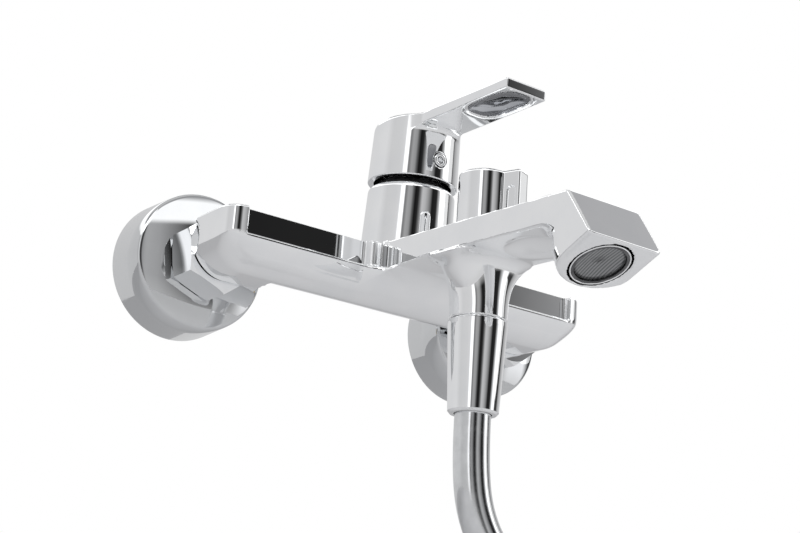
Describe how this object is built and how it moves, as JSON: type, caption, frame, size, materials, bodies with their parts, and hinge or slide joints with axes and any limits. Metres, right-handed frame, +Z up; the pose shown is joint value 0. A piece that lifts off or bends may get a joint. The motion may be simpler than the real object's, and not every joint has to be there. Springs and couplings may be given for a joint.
{
  "type": "wall mounted bath mixer",
  "caption": "Chrome wall-mounted single-lever bath and shower mixer with a flat straight spout, a knob diverter and a shower hose hanging from its outlet.",
  "frame": {"origin": "on the finished wall, midway between the two wall connectors, at the height of their axes", "axes": "+X along the body, +Y into the wall, +Z up"},
  "size_m": [0.231, 0.2116, 0.3875],
  "materials": {
    "chrome": "polished chrome plate",
    "brass_raw": "machined",
    "steel": "bright",
    "black_plastic": "satin black",
    "grey_plastic": "matte grey",
    "ceramic": "polished ceramic",
    "rubber_black": "matte",
    "hose_sleeve": "smooth silver"
  },
  "bodies": {
    "fixture": {"aerator_housing": "chrome", "aerator_insert": "grey_plastic", "aerator_screen": "steel", "aerator_seal": "rubber_black", "body_casting": "chrome", "cartridge_base": "black_plastic", "cartridge_lock_nut": "brass_raw", "cartridge_port_seals": "rubber_black", "cartridge_shell": "black_plastic", "coil_tie": "black_plastic", "diverter_bonnet": "brass_raw", "diverter_seat": "black_plastic", "dome_cover": "black_plastic", "fixed_ceramic_disc": "ceramic", "hose_coil": "hose_sleeve", "hose_end_ferrule": "chrome", "hose_end_nut": "chrome", "hose_ferrule": "chrome", "hose_nut": "chrome", "hose_tail": "hose_sleeve", "hose_tube": "hose_sleeve", "hose_washer": "rubber_black", "left_escutcheon": "chrome", "left_inlet_nipple": "chrome", "left_seal_washer": "rubber_black", "left_strainer": "brass_raw", "left_union_nut": "chrome", "left_wall_connector": "brass_raw", "outlet_nipple": "chrome", "outlet_nipple_seal": "rubber_black", "right_escutcheon": "chrome", "right_inlet_nipple": "chrome", "right_seal_washer": "rubber_black", "right_strainer": "brass_raw", "right_union_nut": "chrome", "right_wall_connector": "brass_raw", "spindle_seal": "rubber_black"},
    "turret": {"cartridge_turret": "black_plastic", "lever_pivot_pin": "steel"},
    "lever": {"cartridge_lever": "steel", "handle": "chrome", "handle_set_screw": "steel", "index_plug": "chrome"},
    "discs": {"moving_ceramic_disc": "ceramic", "disc_carrier": "black_plastic"},
    "diverter": {"diverter_knob": "chrome", "knob_screw": "steel", "diverter_spindle": "brass_raw"}
  },
  "joints": [
    {"name": "handle_turn", "type": "hinge", "parent": "fixture", "child": "turret", "pos_m": [0, -0.0606, 0.03137], "axis": [0, -0.0523, 0.9986], "range_deg": [-50, 50]},
    {"name": "handle_lift", "type": "hinge", "parent": "turret", "child": "lever", "pos_m": [0, -0.0606, 0.03137], "axis": [-1, 0, 0], "range_deg": [0, 24]},
    {"name": "disc_slide", "type": "slide", "parent": "turret", "child": "discs", "axis": [0, -0.9986, -0.0523], "range_m": [0, 0.0026]},
    {"name": "diverter_turn", "type": "hinge", "parent": "fixture", "child": "diverter", "pos_m": [0, -0.112, 0], "axis": [0, 0, 1], "range_deg": [-66, 23]}
  ],
  "couplings": [
    {"joint": "disc_slide", "follows": "handle_lift", "m_per_rad": 0.0061}
  ]
}
